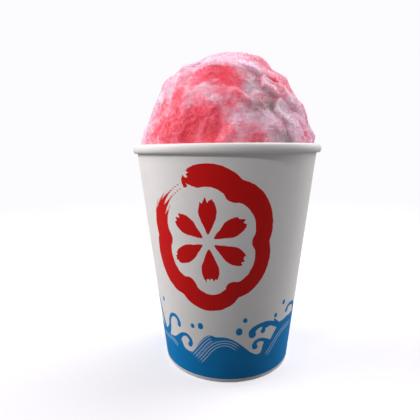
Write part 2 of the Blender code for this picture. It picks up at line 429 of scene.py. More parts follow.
# %% Sea and curls
STRIPE_TOP = 1.7
SEA = (
    (-90, 24.2), (-76, 22.4), (-64, 20.6), (-54.4, 18.8), (-49, 17.2), (-43, 17.3), (-37, 17.8), (-32, 19.4),
    (-29.4, 18.8), (-27.6, 16.6), (-25.6, 14.3), (-21.6, 13.3), (-18.4, 13.6), (-15.6, 15.3), (-11.8, 18.7),
    (-8, 21.6), (-4.6, 23.3), (-1.5, 23.7), (2, 23.1), (7.6, 23.2), (12.8, 22.4), (17.4, 20.8), (22.2, 18.5),
    (26.4, 16.1), (30, 14.4), (33.4, 13.3), (36.4, 13.3), (38.2, 14.8), (39.3, 17.6), (41, 18.8), (43, 18.3),
    (44.6, 17.9), (46.8, 19.5), (49.4, 22.0), (52.4, 24.0), (58, 25.4), (65, 26.3), (74, 27.0), (82, 26.0),
    (90, 24.2),
)
CURLS = (
    ((-51, 16.4, 2.2), (-45.4, 18.8, 1.6), (-42.2, 22, 1.05), (-41.2, 25.2, 0.85), (-38.4, 28.1, 0.85),
     (-34.2, 29.3, 0.9), (-30.8, 28.4, 0.95), (-29.2, 26.6, 1.0), (-29.3, 25.2, 1.1)),
    ((-34, 16, 1.9), (-30.4, 18.8, 1.3), (-26.6, 20.9, 0.9), (-22.6, 21.4, 0.85), (-19.7, 20.1, 0.85),
     (-18.7, 18.3, 0.95), (-19.8, 16.9, 1.15)),
    ((-50, 16, 2.0), (-54, 22, 1.3), (-57, 28, 1.0), (-60.5, 32.2, 0.95), (-66, 33.8, 0.95), (-70.4, 31, 1.0),
     (-69, 28, 1.35)),
    ((-62, 19, 1.6), (-65, 22.6, 1.0), (-70, 25.4, 0.9), (-75.6, 26.4, 1.2)),
    ((66, 25.4, 1.7), (58.5, 25.0, 1.35), (52.8, 25.2, 1.3), (46.7, 27.0, 1.2), (40.6, 27.9, 1.15),
     (35.2, 27.6, 1.05), (31.2, 26.5, 1.25), (29.1, 25.0, 1.55), (29.4, 23.7, 1.75)),
    ((43, 26.8, 0.8), (39.2, 26.2, 0.85), (38.2, 24.5, 1.2)),
    ((47, 16.6, 1.6), (43.4, 18.4, 1.2), (40.1, 19.7, 0.9), (36.7, 20.4, 0.85), (33.2, 19.9, 0.9),
     (31.5, 18.4, 1.1), (32.1, 17.3, 1.35)),
    ((83, 23, 2.6), (80, 27, 1.7), (76.5, 30.7, 1.05), (70.6, 32.4, 0.9), (65.2, 32.2, 0.9),
     (62.7, 30.3, 1.1)),
    ((53, 25.4, 1.1), (50.6, 27.2, 0.7), (48.2, 28.9, 0.3)),
)
SPRAY = (
    (-16.1, 27.0, 0.95), (-9.5, 27.7, 1.3), (19.1, 25.9, 1.5), (23.3, 31.2, 1.0), (49.3, 30.5, 0.95),
    (57.3, 35.6, 1.0), (-47.6, 34.6, 1.0), (-84, 33.4, 1.3), (-78.6, 38, 0.95),
)
CARVED = (((35.4, 18.9, 0.35), (37, 17.4, 0.5), (37.3, 15.8, 0.6), (35.4, 14.5, 0.6), (32.8, 14.5, 0.5)),)


def sea_outline(heading):
    """Height of the sea at a heading: a smooth curve through its crests and troughs."""
    curve = spline(SEA, 600)
    return np.interp(heading, curve[:, 0], curve[:, 1])


def blue_ink():
    """Distance into the blue: the sea under its outline, the curls and the spray."""
    step = 0.5
    slope = (sea_outline(GRID_H + step) - sea_outline(GRID_H - step)) / (np.radians(2 * step) * GRID_R)
    sea = (sea_outline(GRID_H) - GRID_Z) / np.sqrt(1 + slope**2)
    shape = union(sea, *(stroke(knots) for knots in CURLS))
    for knots in CARVED:
        shape = np.minimum(shape, -stroke(knots))
    drops = [
        stroke(((h, z + 0.25 * half, half * 0.92), (h, z - 0.25 * half, half)), 4)
        for h, z, half in SPRAY
    ]
    return np.minimum(union(shape, *drops), GRID_Z - STRIPE_TOP)


ink_blue = blue_ink()
print("blue covers", round(100 * float((ink_blue > 0).mean())), "% of the outer rows")

# %% White lines on the swell
BUNDLES = (
    (((-18.4, 11.4), (-13, 15.2), (-8, 18.9), (-4, 21.4), (-1, 22.3)), 1.2, 3),
    (((-13.5, 9.0), (-8.2, 12.4), (-3.4, 16.2), (2, 19.0), (8, 20.2), (14, 19.4), (19.5, 16.8)), 1.2, 3),
    (((42, 10.8), (46.8, 13.8), (51, 17.0), (56.5, 20.0), (64, 21.6), (76, 22.2)), 1.5, 2),
    (((-60, 15.0), (-48, 15.3), (-40, 15.4), (-33, 13.2)), 1.2, 2),
)


def swell_lines():
    """For each point its place across the nearest bundle, in line spacings, and a mask that is
    1 along the bundle and 0 off it."""
    nearest = np.full(GRID_H.shape, 99.0)
    across = np.zeros(GRID_H.shape)
    mask = np.zeros(GRID_H.shape)
    for knots, spacing, lines in BUNDLES:
        curve = spline(knots, 60)
        for k in range(len(curve) - 1):
            (h0, z0), (h1, z1) = curve[k], curve[k + 1]
            x = np.radians(to_nearest(GRID_H - h0)) * GRID_R
            run = np.radians(h1 - h0) * GRID_R
            along, away, side = from_segment(x, GRID_Z - z0, run, z1 - z0)
            closer = away < nearest
            t = (k + along) / (len(curve) - 1)
            half = lines * spacing / 2
            ends = smoothstep(0, 0.12, t) * smoothstep(1, 0.88, t)
            edge = smoothstep(half + 0.12, half - 0.12, np.abs(side)) * smoothstep(half + 1, half, away)
            nearest = np.where(closer, away, nearest)
            across = np.where(closer, side / spacing + (lines % 2) / 2, across)
            mask = np.where(closer, ends * edge, mask)
    return across, mask


line_across, line_mask = swell_lines()
print("white lines cover", round(100 * float((line_mask > 0.5).mean()), 1), "% of the outer rows")

# %% [markdown]
# ## The red snow ring
#
# The front of such a cup carries one bold red figure, brushed in thick ink. This one is a
# snow ring, a six-lobed ring from old Japanese textiles, round a six-petalled heart. The
# ring is one stroke of a wide flat brush: it starts wet and heavy and runs dry near its end,
# where the bristles part into streaks.

# %% Snow ring
RING_PLACE = (-1.0, 67.0)
RING_SIZE = (25.5, 28.5)
RING_START = math.radians(112)
RING_SWEEP = math.radians(-346)
RING_HALF = 4.0
RING_LENGTH = 160.0
PETAL = ((3.4, 0.6), (7.0, 2.1), (11.2, 3.7), (14.4, 3.1), (16.4, 1.6))


def ring_point(angle):
    """A point of the six-lobed ring, in mm from its centre: round lobes meet in soft notches."""
    reach = 0.84 + 0.12 * np.abs(np.cos(3 * (angle - math.pi / 2))) ** 0.6
    return RING_SIZE[0] * reach * np.cos(angle), RING_SIZE[1] * reach * np.sin(angle)


def bristles(along, across, dryness):
    """Ink left by parting bristles, in mm: a comb of streaks, each gone at its own dryness."""
    hair = grid_noise(across / 1.1, along / 16, 0, 1.0, 3)
    comb = np.cos(math.tau * across / 2.1 + 2.5 * hair)
    parted = (1.1 * comb + 1.6 * hair) * np.minimum(1, 2.5 * dryness)
    return np.where(dryness > 0, 2.4 - 3.6 * dryness - parted, -OFF_INK)


def red_ink():
    """Distance into the red: the ring's stroke, parted by dry bristles, and the six petals."""
    heading, height = RING_PLACE
    degree = math.radians(1) * float(wall_outside(height * MM)) / MM
    share = np.linspace(0, 1, 180)
    x, y = ring_point(RING_START + RING_SWEEP * share)
    half = RING_HALF * (1 + 0.16 * np.sin(1.5 * math.tau * share + 0.6)) * smoothstep(-0.03, 0.04, share)
    ring = stroke(np.stack([heading + x / degree, height + y, half], -1), 360)
    local_x = np.radians(to_nearest(GRID_H - heading)) * GRID_R
    local_y = GRID_Z - height
    angle = np.arctan2(local_y / RING_SIZE[1], local_x / RING_SIZE[0])
    gone = ((RING_START - angle) % math.tau) / abs(RING_SWEEP)
    out = np.hypot(local_x, local_y)
    dryness = smoothstep(0.84, 1.02, gone) * (gone < 1.03) + smoothstep(0.05, -0.01, gone)
    shape = np.minimum(ring, bristles(gone * RING_LENGTH, out, dryness))
    for k in range(6):
        turn = math.radians(90 + 60 * k + 3 * math.sin(5 * k))
        reach, half = np.transpose(PETAL)
        petal_x, petal_y = reach * math.cos(turn) / degree, reach * math.sin(turn) * 1.08
        petal = stroke(np.stack([heading + petal_x, height + petal_y, half], -1), 40)
        along = local_x * math.cos(turn) + local_y * math.sin(turn)
        across = local_x * math.sin(turn) - local_y * math.cos(turn)
        tip = np.minimum(petal, bristles(along + 40 * k, across, smoothstep(14.5, 18.5, along)))
        shape = union(shape, tip)
    return shape + 0.16 * grid_noise(local_x, local_y, 0, 1.6, 6)


ink_red = red_ink()
print("red covers", round(100 * float((ink_red > 0).mean())), "% of the outer rows")

# %% [markdown]
# ## Coated paperboard and its ink
#
# The board is bleached white and coated with a thin film against the wet, which gives it a
# soft sheen rather than a gloss: dielectric, roughness about 0.5. Under the film the fibres
# still show as a faint bump about a millimetre across. Offset ink is dense but a little
# uneven, so each ink varies in depth over a few millimetres. The cut at its edge is a fifth
# of a millimetre wide, as ink spreads into board. The white lines are cut in the same way,
# with widths as shares of their spacing.

# %% Printed paper
INKS = (("ink_blue", "#007fc2", "#008cd6"), ("ink_red", "#cf0508", "#e0120f"))
INK_EDGE = 0.10
INK_FEATHER = 0.25
LINE_HALF = 0.15
LINE_SOFT = 0.07
LINE_STRENGTH = 0.8

paper, tree, shader, place = new_material("coated_paperboard", Roughness=0.5, Specular_IOR_Level=0.2)
fibre = add_node(tree, "TexNoise", {"Vector": place, "Scale": 1 / (0.9 * MM), "Detail": 3})
cloud = add_node(tree, "TexNoise", {"Vector": place, "Scale": 1 / (7 * MM), "Detail": 4})
feather = add_node(tree, "Math", {0: fibre, 1: -0.5}, operation="ADD")
shades = {"Factor": cloud, "A": linear("#f6f5f2"), "B": linear("#efeeea")}
inked = add_node(tree, "Mix", shades, data_type="RGBA")
for attribute, deep, light in INKS:
    edge = add_node(tree, "Attribute", attribute_name=attribute).outputs["Fac"]
    ragged = add_node(tree, "Math", {0: feather, 1: INK_FEATHER, 2: edge}, operation="MULTIPLY_ADD")
    cover = add_node(tree, "MapRange", {"Value": ragged, "From Min": -INK_EDGE, "From Max": INK_EDGE})
    ink = add_node(tree, "Mix", {"Factor": cloud, "A": linear(deep), "B": linear(light)}, data_type="RGBA")
    inked = add_node(tree, "Mix", {"Factor": cover, "A": inked, "B": ink}, data_type="RGBA")
across = add_node(tree, "Attribute", attribute_name="line_across").outputs["Fac"]
mask = add_node(tree, "Attribute", attribute_name="line_mask").outputs["Fac"]
share = add_node(tree, "Math", {0: across}, operation="FRACT")
centred = add_node(tree, "Math", {0: share, 1: -0.5}, operation="ADD")
off_line = add_node(tree, "Math", {0: centred}, operation="ABSOLUTE")
cut = {"Value": off_line, "From Min": LINE_HALF + LINE_SOFT, "From Max": LINE_HALF - LINE_SOFT}
thin = add_node(tree, "MapRange", cut | {"To Max": LINE_STRENGTH})
shown = add_node(tree, "Math", {0: thin, 1: mask}, operation="MULTIPLY")
lined = add_node(tree, "Mix", {"Factor": shown, "A": inked, "B": linear("#dbe9f3")}, data_type="RGBA")
bump = add_node(tree, "Bump", {"Height": fibre, "Strength": 0.12, "Distance": 0.05 * MM})
fill_sockets(shader, {"Base Color": lined, "Normal": bump})

# %% Put the sheet in place
UNPRINTED = -9.0
prints = {"ink_blue": ink_blue, "ink_red": ink_red, "line_across": line_across, "line_mask": line_mask}
for name, values in prints.items():
    every = np.full(sheet.shape[:2], UNPRINTED if name.startswith("ink") else 0.0)
    every[outer_rows] = values
    set_attribute(sheet_mesh, name, every.ravel())
cup_sheet = add_piece("cup_sheet", sheet_mesh, paper, "cup_wall")

# %% [markdown]
# ## The raised floor
#
# Seen only from below, the floor is plain board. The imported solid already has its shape, so
# it stays and gets a finish: the uncoated side is warmer and rougher, with longer fibres.

# %% Bare board
bare, tree, shader, place = new_material("bare_board", Roughness=0.7)
fibre = add_node(tree, "TexNoise", {"Vector": place, "Scale": 1 / (1.2 * MM), "Detail": 5})
cloud = add_node(tree, "TexNoise", {"Vector": place, "Scale": 1 / (11 * MM), "Detail": 3})
shades = {"Factor": cloud, "A": linear("#f1efe9"), "B": linear("#e8e5dd")}
shade = add_node(tree, "Mix", shades, data_type="RGBA")
bump = add_node(tree, "Bump", {"Height": fibre, "Strength": 0.2, "Distance": 0.05 * MM})
fill_sockets(shader, {"Base Color": shade, "Normal": bump})
cup_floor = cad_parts["cup_base"]
cup_floor.data.materials.clear()
cup_floor.data.materials.append(bare)

# %% [markdown]
# ## The form of the ice
#
# Shaved ice is packed flakes. It breaks in flat crags with ledges between them, so its form
# is a smooth dome plus three kinds of relief: a plane for each cell of a seeded pattern, a
# few long ledges, and lumps and dents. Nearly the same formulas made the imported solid, so the
# core lies where that solid is. Here the ledges are sharper, the crest steps a little further
# and a few dents are added. A ledge is a path of headings and elevations, with its rise and
# run in millimetres, and a lump is one such place, with its height and radius.

# %% Sizes of the crags
DOME_RADIUS = 41.3 * MM
DOME_HEIGHT = 45.0 * MM
DOME_POWER = 1.28
DOME_FOOT = CUP_HEIGHT - 2.0 * MM
SHOULDER = 1.7 * MM
CRAG_FADE = 5.0 * MM
CELLS = 120
GOLDEN_TURN = 137.5
CELL_JITTER = 25
CELL_STRETCH = 0.6
CELL_EDGE = 150
CELL_LEVEL = 0.95 * MM
CELL_TILT = 4.5 * MM
SEED = 46
RIGHT_CREST = ((51, 0), (51, 13), (45, 17), (42, 22), (49, 31), (38, 39), (43, 47), (34, 51))
BROW = ((34, 51), (21, 53), (6, 54), (-11, 53), (-37, 55), (-58, 60))
LEDGE_EDGE = 0.45 * MM
LEDGES = (
    (RIGHT_CREST, 1.1, 6.0),
    (BROW, 0.25, 6.0),
    (((-33, 0), (-28, 17), (-31, 34), (-35, 47), (-48, 56)), 0.65, 6.0),
    (((-52, 2), (-46, 20), (-40, 30), (-46, 46)), 0.65, 5.0),
    (((66, 0), (64, 14), (57, 22), (60, 31), (59, 43), (70, 54)), 0.35, 5.0),
)
LUMPS = (
    (-67, 21, -2.8, 4.0), (-64, 46, 2.0, 5.0), (-64, 58, -1.8, 4.0), (-48, 70, -2.3, 6.5),
    (-68, 8, -0.9, 8.0), (-10, 80, -0.8, 5.0), (45, 77, -0.9, 6.0), (70, 69, 0.5, 6.0),
    (78, 57, -1.5, 3.5), (83, 49, 0.9, 3.5), (84, 40, -1.2, 4.0), (81, 34, -1.2, 3.5),
    (88, 34, -1.7, 3.5), (96, 33, -1.4, 4.0), (86, 16, -1.3, 3.0), (86, 8, 0.8, 4.0),
    (40, 13, 1.2, 4.5), (41, 27, -0.9, 4.0),
)


# %% Facets


def unit(heading, elevation):
    """The unit vector of a heading and an elevation in degrees, which may be arrays."""
    h, e = np.radians(heading), np.radians(elevation)
    return np.stack([np.sin(h) * np.cos(e), -np.cos(h) * np.cos(e), np.sin(e)], -1)


def cell_relief(directions):
    """Flat facets: each seeded centre has a plane, and a point takes its nearest centre's."""
    rng = np.random.default_rng(SEED)
    turn = GOLDEN_TURN * np.arange(CELLS) + rng.uniform(-CELL_JITTER, CELL_JITTER, CELLS)
    height = (np.arange(CELLS) + rng.uniform(0, 1, CELLS)) / CELLS
    centres = unit(turn, np.degrees(np.arcsin(height))) * [1, 1, CELL_STRETCH]
    level = rng.uniform(-CELL_LEVEL, CELL_LEVEL, CELLS)
    tilt = rng.normal(0, CELL_TILT, (CELLS, 3))
    at = directions * [1, 1, CELL_STRETCH]
    nearness = CELL_EDGE * (2 * at @ centres.T - (centres**2).sum(1))
    share = np.exp(nearness - nearness.max(axis=1, keepdims=True))
    plane = at @ tilt.T + level - (centres * tilt).sum(1)
    return (share * plane).sum(1) / share.sum(1)


# %% Ledges


def beside(directions, path):
    """Degrees to the right of a path and degrees from it, for directions from the foot's centre."""
    elevation = np.degrees(np.arcsin(np.clip(directions[:, 2], -1, 1)))
    heading = np.degrees(np.arctan2(directions[:, 0], -directions[:, 1]))
    nearest, side = np.full(len(directions), np.inf), np.zeros(len(directions))
    for (h0, e0), (h1, e1) in zip(path, path[1:]):
        squeeze = math.cos(math.radians((e0 + e1) / 2))
        x, run = (heading - h0) * squeeze, (h1 - h0) * squeeze
        _, away, right = from_segment(x, elevation - e0, run, e1 - e0)
        side = np.where(away < nearest, right, side)
        nearest = np.minimum(nearest, away)
    return side, nearest


def ledge_step(directions, path, run):
    """A step along a path: 1 on its right, -1 on its left, dying away over the run in mm."""
    side, nearest = beside(directions, path)
    edge, fall = math.degrees(LEDGE_EDGE / DOME_RADIUS), math.degrees(run * MM / DOME_RADIUS)
    return np.tanh(side / edge) * np.exp(-nearest / fall)


# %% Crags over the dome


def crag_relief(directions):
    """How far the ice stands out of the smooth dome: facets, ledges and lumps together."""
    total = cell_relief(directions)
    for path, rise, run in LEDGES:
        total += rise * MM * ledge_step(directions, path, run)
    for heading, elevation, height, radius in LUMPS:
        apart = np.linalg.norm(directions - unit(heading, elevation), axis=1) * DOME_RADIUS
        total += height * MM * np.exp(-((apart / (radius * MM)) ** 2))
    return total


def dome_reach(elevation):
    """Distance from the foot's centre to the smooth dome at an elevation in degrees."""
    fine = np.linspace(0, math.pi / 2, 2000)
    across = DOME_RADIUS * np.cos(fine)
    up = DOME_HEIGHT * np.sin(fine) ** DOME_POWER
    return np.interp(elevation, np.degrees(np.arctan2(up, across)), np.hypot(across, up))


# %% [markdown]
# ## Roughness of packed flakes
#
# Closer in, each facet is a felt of flakes one to three millimetres long. The core carries
# that as fine relief: two sizes of folded noise, which has sharp little crests where a flake
# ends and soft hollows between, and a warp that frays the ledges.

# %% Fine relief
FRAY = 0.009
FRAY_SIZE = 4.0 * MM
FLAKE_SIZE = 3.0 * MM
FLAKE_RELIEF = 0.26 * MM


def frayed(directions):
    """Directions pushed about by noise, so that straight ledges become ragged."""
    return normalised(directions + FRAY * noise_vectors(directions * DOME_RADIUS, FRAY_SIZE, 1))


def folded(points, size, offset):
    """Noise folded at zero: sharp crests, from -1 to 1."""
    return 1 - 3.2 * np.abs(noise(points, size, offset))


def flake_relief(points):
    """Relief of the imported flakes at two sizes, patchier where the felt is looser."""
    patch = 0.75 + 0.5 * noise(points, 11 * MM, 9)
    large = folded(points, FLAKE_SIZE, 4)
    small = folded(points, FLAKE_SIZE / 2.1, 5)
    return FLAKE_RELIEF * patch * (0.6 * large + 0.4 * small)


def ice_surface(directions):
    """Points of the ice's surface in the given directions from the foot's centre."""
    elevation = np.degrees(np.arcsin(np.clip(directions[:, 2], -1, 1)))
    reach = dome_reach(elevation)
    fade = np.clip(reach * directions[:, 2] / CRAG_FADE, 0, 1)
    reach = reach + fade * crag_relief(frayed(directions))
    points = directions * reach[:, None]
    points += directions * (flake_relief(points) * (0.35 + 0.65 * fade))[:, None]
    return points + [0, 0, DOME_FOOT]


# %% Core of the ice
ICE_COLUMNS = 430
ICE_ROWS = 196
PLUG_MIDDLE = 60 * MM
PLUG_FOOT = 8.45 * MM + GAP


def even_elevations(rows):
    """Elevations down the smooth dome, the same distance apart along its curve."""
    fine = np.linspace(90, 0, 3000)
    reach = dome_reach(fine)
    across, up = reach * np.cos(np.radians(fine)), reach * np.sin(np.radians(fine))
    along = np.concatenate([[0], np.cumsum(np.hypot(np.diff(across), np.diff(up)))])
    return np.interp(np.linspace(0, along[-1], rows + 1)[1:], along, fine)


def core_rings():
    """Rings of the dome, then of the shoulder and the plug that fills the cup."""
    turn = np.linspace(-180, 180, ICE_COLUMNS, endpoint=False)
    elevation, heading = np.meshgrid(even_elevations(ICE_ROWS), turn, indexing="ij")
    dome = ice_surface(unit(heading.ravel(), elevation.ravel())).reshape(ICE_ROWS, ICE_COLUMNS, 3)
    shoulder = [DOME_FOOT - SHOULDER / 3, DOME_FOOT - SHOULDER]
    height = np.array([*shoulder, PLUG_MIDDLE, PLUG_FOOT + PAPER, PLUG_FOOT])
    radius = wall_outside(height) - PAPER - GAP
    radius[0] = (DOME_RADIUS + radius[1]) / 2
    radius[-1] -= PAPER
    flat = unit(turn, np.zeros(ICE_COLUMNS))
    plug = [flat * r + [0, 0, z] for r, z in zip(radius, height)]
    return np.concatenate([dome, np.array(plug)])


core = core_rings()
top = ice_surface(np.array([[0.0, 0.0, 1.0]]))[0]
core_mesh = ring_mesh("ice_core", core, top=top, bottom=(0, 0, PLUG_FOOT))
core_mesh.shade_smooth()
print("the ice stands", round((core[..., 2].max() - CUP_HEIGHT) / MM, 1), "mm over the rim")

# %% [markdown]
# ## Where the syrup is
#
# Syrup is poured on from above and sinks in unevenly: deep red where it pooled, pale pink
# where it only ran past, nearly white where it missed. Each stain is a soft blob round a
# heading and an elevation, with a width in degrees and a strength, and noise breaks its edge
# into the fingers and specks that flakes draw up. Two more lists hold the places that the
# syrup missed and the grey places, which are partly ice that melted clear and partly painted
# shade by the crest and along the lip. At the three lower ledges the tint steps, deeper to the
# right of each, and less syrup came past the crest. The results are two numbers from 0 to 1:
# syrup, and melt with painted shade, which also holds a strip of painted shade along the crest.

# %% Syrup
STAINS = (
    (-10, 10, 13, 1.0), (-29, 12, 9, 0.85), (5, 12, 8, 0.65), (-3, 20, 8, 0.55), (-27, 29, 8, 0.5),
    (-17, 49, 8, 0.85), (3, 47, 9, 1.0), (13, 47, 7, 0.8), (12, 38, 7, 0.5), (17, 28, 6, 0.5),
    (25, 6, 6, 0.7), (43, 21, 3, 0.7), (60, 66, 10, 0.95), (64, 8, 7, 0.4), (56, 41, 10, 0.9),
    (92, 30, 12, 0.5), (-42, 23, 5, 0.35), (-35, 27, 5, 0.3), (-16, 34, 7, 0.15), (-38, 8, 6, 0.35),
    (6, 21, 5, 0.45), (7, 14, 6, 0.4), (3, 3, 5, 0.6), (33, 27, 5, 0.5), (-92, 22, 16, 0.45),
    (100, 16, 14, 0.8), (122, 46, 16, 0.75), (150, 12, 17, 0.95), (178, 40, 14, 0.6),
    (205, 64, 12, 0.5), (222, 20, 16, 0.9), (240, 46, 12, 0.5), (165, 74, 11, 0.65),
    (255, 62, 12, 0.6), (100, 66, 9, 0.5), (30, 88, 8, 0.8), (280, 80, 8, 0.5), (200, 78, 9, 0.5),
)
MISSED = (
    (-6, 30, 7, 0.25), (4, 26, 7, 0.55), (-10, 70, 14, 0.6), (-40, 50, 11, 0.8), (-33, 58, 9, 0.5),
    (-24, 46, 6, 0.4), (-50, 38, 9, 0.7), (19, 17, 6, 0.6), (30, 16, 7, 0.7), (40, 14, 7, 0.7),
    (46, 6, 6, 0.6), (-52, 9, 6, 0.5), (-64, 4, 9, 0.7), (49, 17, 5, 0.6), (67, 24, 9, 0.8),
)
# Grey spots: partly ice that melted clear, partly painted shade by the crest and along the lip.
CLEAR_AND_SHADED = (
    (43, 25, 6, 0.95), (47, 4, 5, 0.95), (34, 43, 6, 0.3), (31, 36, 7, 0.3), (32, 24, 7, 0.55),
    (38, 3, 6, 0.35), (24, 0, 6, 0.3), (9, 0, 6, 0.2), (50, 26, 4, 0.5), (44, 20, 4, 0.3),
    (24, 31, 5, 0.3), (190, 16, 8, 0.4), (244, 34, 7, 0.3),
)


def from_foot(points):
    """Directions from the foot's centre, and the same pushed about by noise for ragged stains."""
    directions = normalised(points - [0, 0, DOME_FOOT])
    return directions, normalised(directions + 0.07 * noise_vectors(points, 7 * MM, 11))


def blobs(directions, spots):
    """Soft round spots of (heading, elevation, width, strength) laid over each other."""
    dry = np.ones(len(directions))
    for heading, elevation, width, strength in spots:
        angle = np.degrees(np.arccos(np.clip(directions @ unit(heading, elevation), -1, 1)))
        dry *= 1 - strength * np.exp(-((angle / width) ** 2))
    return 1 - dry


def soak(points):
    """How much syrup and how much grey, melt with painted shade, the ice holds at points on the
    dome, each from 0 to 1. Syrup is a pale tint, less where it missed, with the stains laid over
    it in streaks and specks. Beyond the crest and the brow less of it arrived, and at the three
    lower ledges it steps, more to the right of each. The grey is the clear places, partly melt
    and partly painted shade by the crest and along the lip, and a thin strip of painted shade
    along the crest at middle height."""
    directions, ragged = from_foot(points)
    cut = frayed(directions)
    side, nearest = beside(cut, RIGHT_CREST + BROW[1:])
    beyond = smoothstep(-0.5, 0.5, side) * smoothstep(60, 35, nearest)
    # The tint steps at the three lower ledges: more syrup to the right of each, less to the left.
    tint_steps = sum(ledge_step(cut, path, run) for path, _, run in LEDGES[2:])
    specks = 0.55 * noise(points, 2.6 * MM, 14) + 0.45 * noise(points, 1.3 * MM, 15)
    streak = noise(points * [1, 1, 0.35], 3.5 * MM, 16)
    # clear holds the grey spots, which are melt and painted shade together.
    clear, missed = blobs(ragged, CLEAR_AND_SHADED), blobs(ragged, MISSED)
    wet = blobs(ragged, STAINS) * (1 - 0.35 * beyond) * (1 - missed)
    syrup = 0.24 - 0.14 * missed + wet * (0.72 + 0.2 * streak + 0.2 * specks) + 0.22 * specks
    syrup -= 0.08 * beyond * (1 + streak)
    syrup += 0.12 * tint_steps - 0.25 * clear * (1 - wet) - 0.08 * beyond * np.exp(-nearest / 2)
    # A thin strip of painted shade along the crest at middle height, where the step shades the ice.
    middle = smoothstep(0.74, 0.6, cut[:, 2]) * smoothstep(0.3, 0.42, cut[:, 2])
    crest_shade = 0.16 * np.exp(-nearest / 2.5) * middle
    melt_and_shade = (clear + crest_shade) * (1 - 0.65 * beyond) * (1 + 0.4 * specks)
    return np.clip(syrup, 0, 1), np.clip(melt_and_shade, 0, 1)


def set_soak(mesh, points, copies=1):
    """Give a mesh its syrup and its melt with painted shade, one value for each point or for each small form.
    """
    for name, values in zip(("syrup", "melt_and_shade"), soak(points)):
        set_attribute(mesh, name, np.repeat(values, copies))
        print(mesh.name, name, "is", round(float(values.mean()), 2), "on average")


set_soak(core_mesh, np.concatenate([core.reshape(-1, 3), [top, top]]))

# %% [markdown]
# ## Wet ice
#
# Each flake is clear, but a heap of them scatters light as snow does: it is white, soft at
# the edges and glows where light comes through. So the core is a dielectric with the index
# of ice, 1.31, with light wandering about a millimetre under the surface, and red light goes
# furthest because syrup swallows the rest. A faint rosy emission, painted light, stands for
# light that comes through the heap, and a lilac sheen for frost. Thin syrup is a cool pink and
# thick syrup a deep red. The grey is partly ice that melted without syrup and is wet and clear,
# and partly painted shade by the crest and along the lip. A loose flake is too thin for light
# to wander in, so it has the same colours on a plain surface.

# %% Ice and syrup
SYRUP_STOPS = (
    (0.0, "#faeef9"), (0.12, "#fbe1f0"), (0.27, "#fcc5d6"), (0.42, "#fda3b4"), (0.56, "#fd8095"),
    (0.7, "#fc6379"), (0.85, "#fb4e61"), (1.0, "#f94254"),
)
# Grey of wet clear ice, which also paints the shade by the crest and along the lip.
MELT_AND_SHADE_COLOUR = "#80726f"
# Colour of the painted glow: an emission that lights the ice from within, though it is no lamp.
PAINTED_GLOW_COLOUR = "#ff8da6"
FROST_COLOUR = "#e6cdff"


def ice_material(name, grain_bump, glow, **constants):
    """Ice that takes its colour from the syrup and from the melt with painted shade at each point."""
    frost = dict(Sheen_Weight=0.75, Sheen_Roughness=0.33, Sheen_Tint=linear(FROST_COLOUR))
    # The emission is painted light. It is stronger on the loose ice and lifts the flakes' shaded sides.
    painted_glow = dict(Emission_Strength=glow, Emission_Color=linear(PAINTED_GLOW_COLOUR))
    material, tree, shader, place = new_material(name, IOR=1.31, **frost, **painted_glow, **constants)
    syrup = add_node(tree, "Attribute", attribute_name="syrup").outputs["Fac"]
    melt_and_shade = add_node(tree, "Attribute", attribute_name="melt_and_shade").outputs["Fac"]
    mottle = add_node(tree, "TexNoise", {"Vector": place, "Scale": 1 / (1.1 * MM), "Detail": 4})
    drift = add_node(tree, "Math", {0: mottle, 1: -0.5}, operation="ADD")
    soaked = add_node(tree, "Math", {0: drift, 1: 0.3, 2: syrup}, operation="MULTIPLY_ADD")
    ramp = add_node(tree, "ValToRGB", {"Fac": soaked})
    set_stops(ramp, SYRUP_STOPS)
    # The grey mixed in here is partly melt and partly painted shade.
    colour = add_node(tree, "Mix", {"Factor": melt_and_shade, "A": ramp, "B": linear(MELT_AND_SHADE_COLOUR)}, data_type="RGBA")
    gloss = add_node(tree, "MapRange", {"Value": syrup, "To Min": 0.5, "To Max": 0.34})
    bump = add_node(tree, "Bump", {"Height": mottle, "Strength": grain_bump, "Distance": 0.25 * MM})
    fill_sockets(shader, {"Base Color": colour, "Roughness": gloss, "Normal": bump})
    return material


packed_ice = ice_material("packed_ice", grain_bump=0.55, glow=0.04, Subsurface_Weight=0.6,
                          Subsurface_Scale=1.3 * MM, Subsurface_Radius=(1.0, 0.75, 0.8))
loose_ice = ice_material("loose_ice", grain_bump=0.2, glow=0.11)
ice_core = add_piece("ice_core", core_mesh, packed_ice, "shaved_ice")

# %% [markdown]
# ## Loose ice
#
# The blade shaves thin curled flakes, and these break into needles, grains and crumbs. All
# four lie on the core as real meshes, thousands of copies of one small closed form each: a
# flake is a bent six-sided plate, a needle a long double pyramid, a grain a squashed
# octahedron and a crumb a tetrahedron. They gather in patches, as clumps fall from the
# shaver. Arrays hold every copy's place, turn and size, and one product of arrays puts all
# points in place. Each form takes the syrup of its spot.

# %% Small forms


def flake(rng, count):
    """Bent six-sided plates: an uneven rim and two middles, in units of the flake's length."""
    angle = np.arange(6) * math.pi / 3 + rng.uniform(-0.3, 0.3, (count, 6))
    reach = rng.uniform(0.55, 1.0, (count, 6)) * 0.5
    narrow = rng.uniform(0.4, 0.8, (count, 1))
    x, y = reach * np.cos(angle), reach * np.sin(angle) * narrow
    rim = np.stack([x, y, -rng.uniform(0.2, 0.9, (count, 1)) * x**2], -1)
    middle = np.zeros((count, 2, 3))
    middle[:, :, 2] = 0.09, -0.06
    fan = [(6, i, (i + 1) % 6) for i in range(6)] + [(7, (i + 1) % 6, i) for i in range(6)]
    return np.concatenate([rim, middle], 1), fan


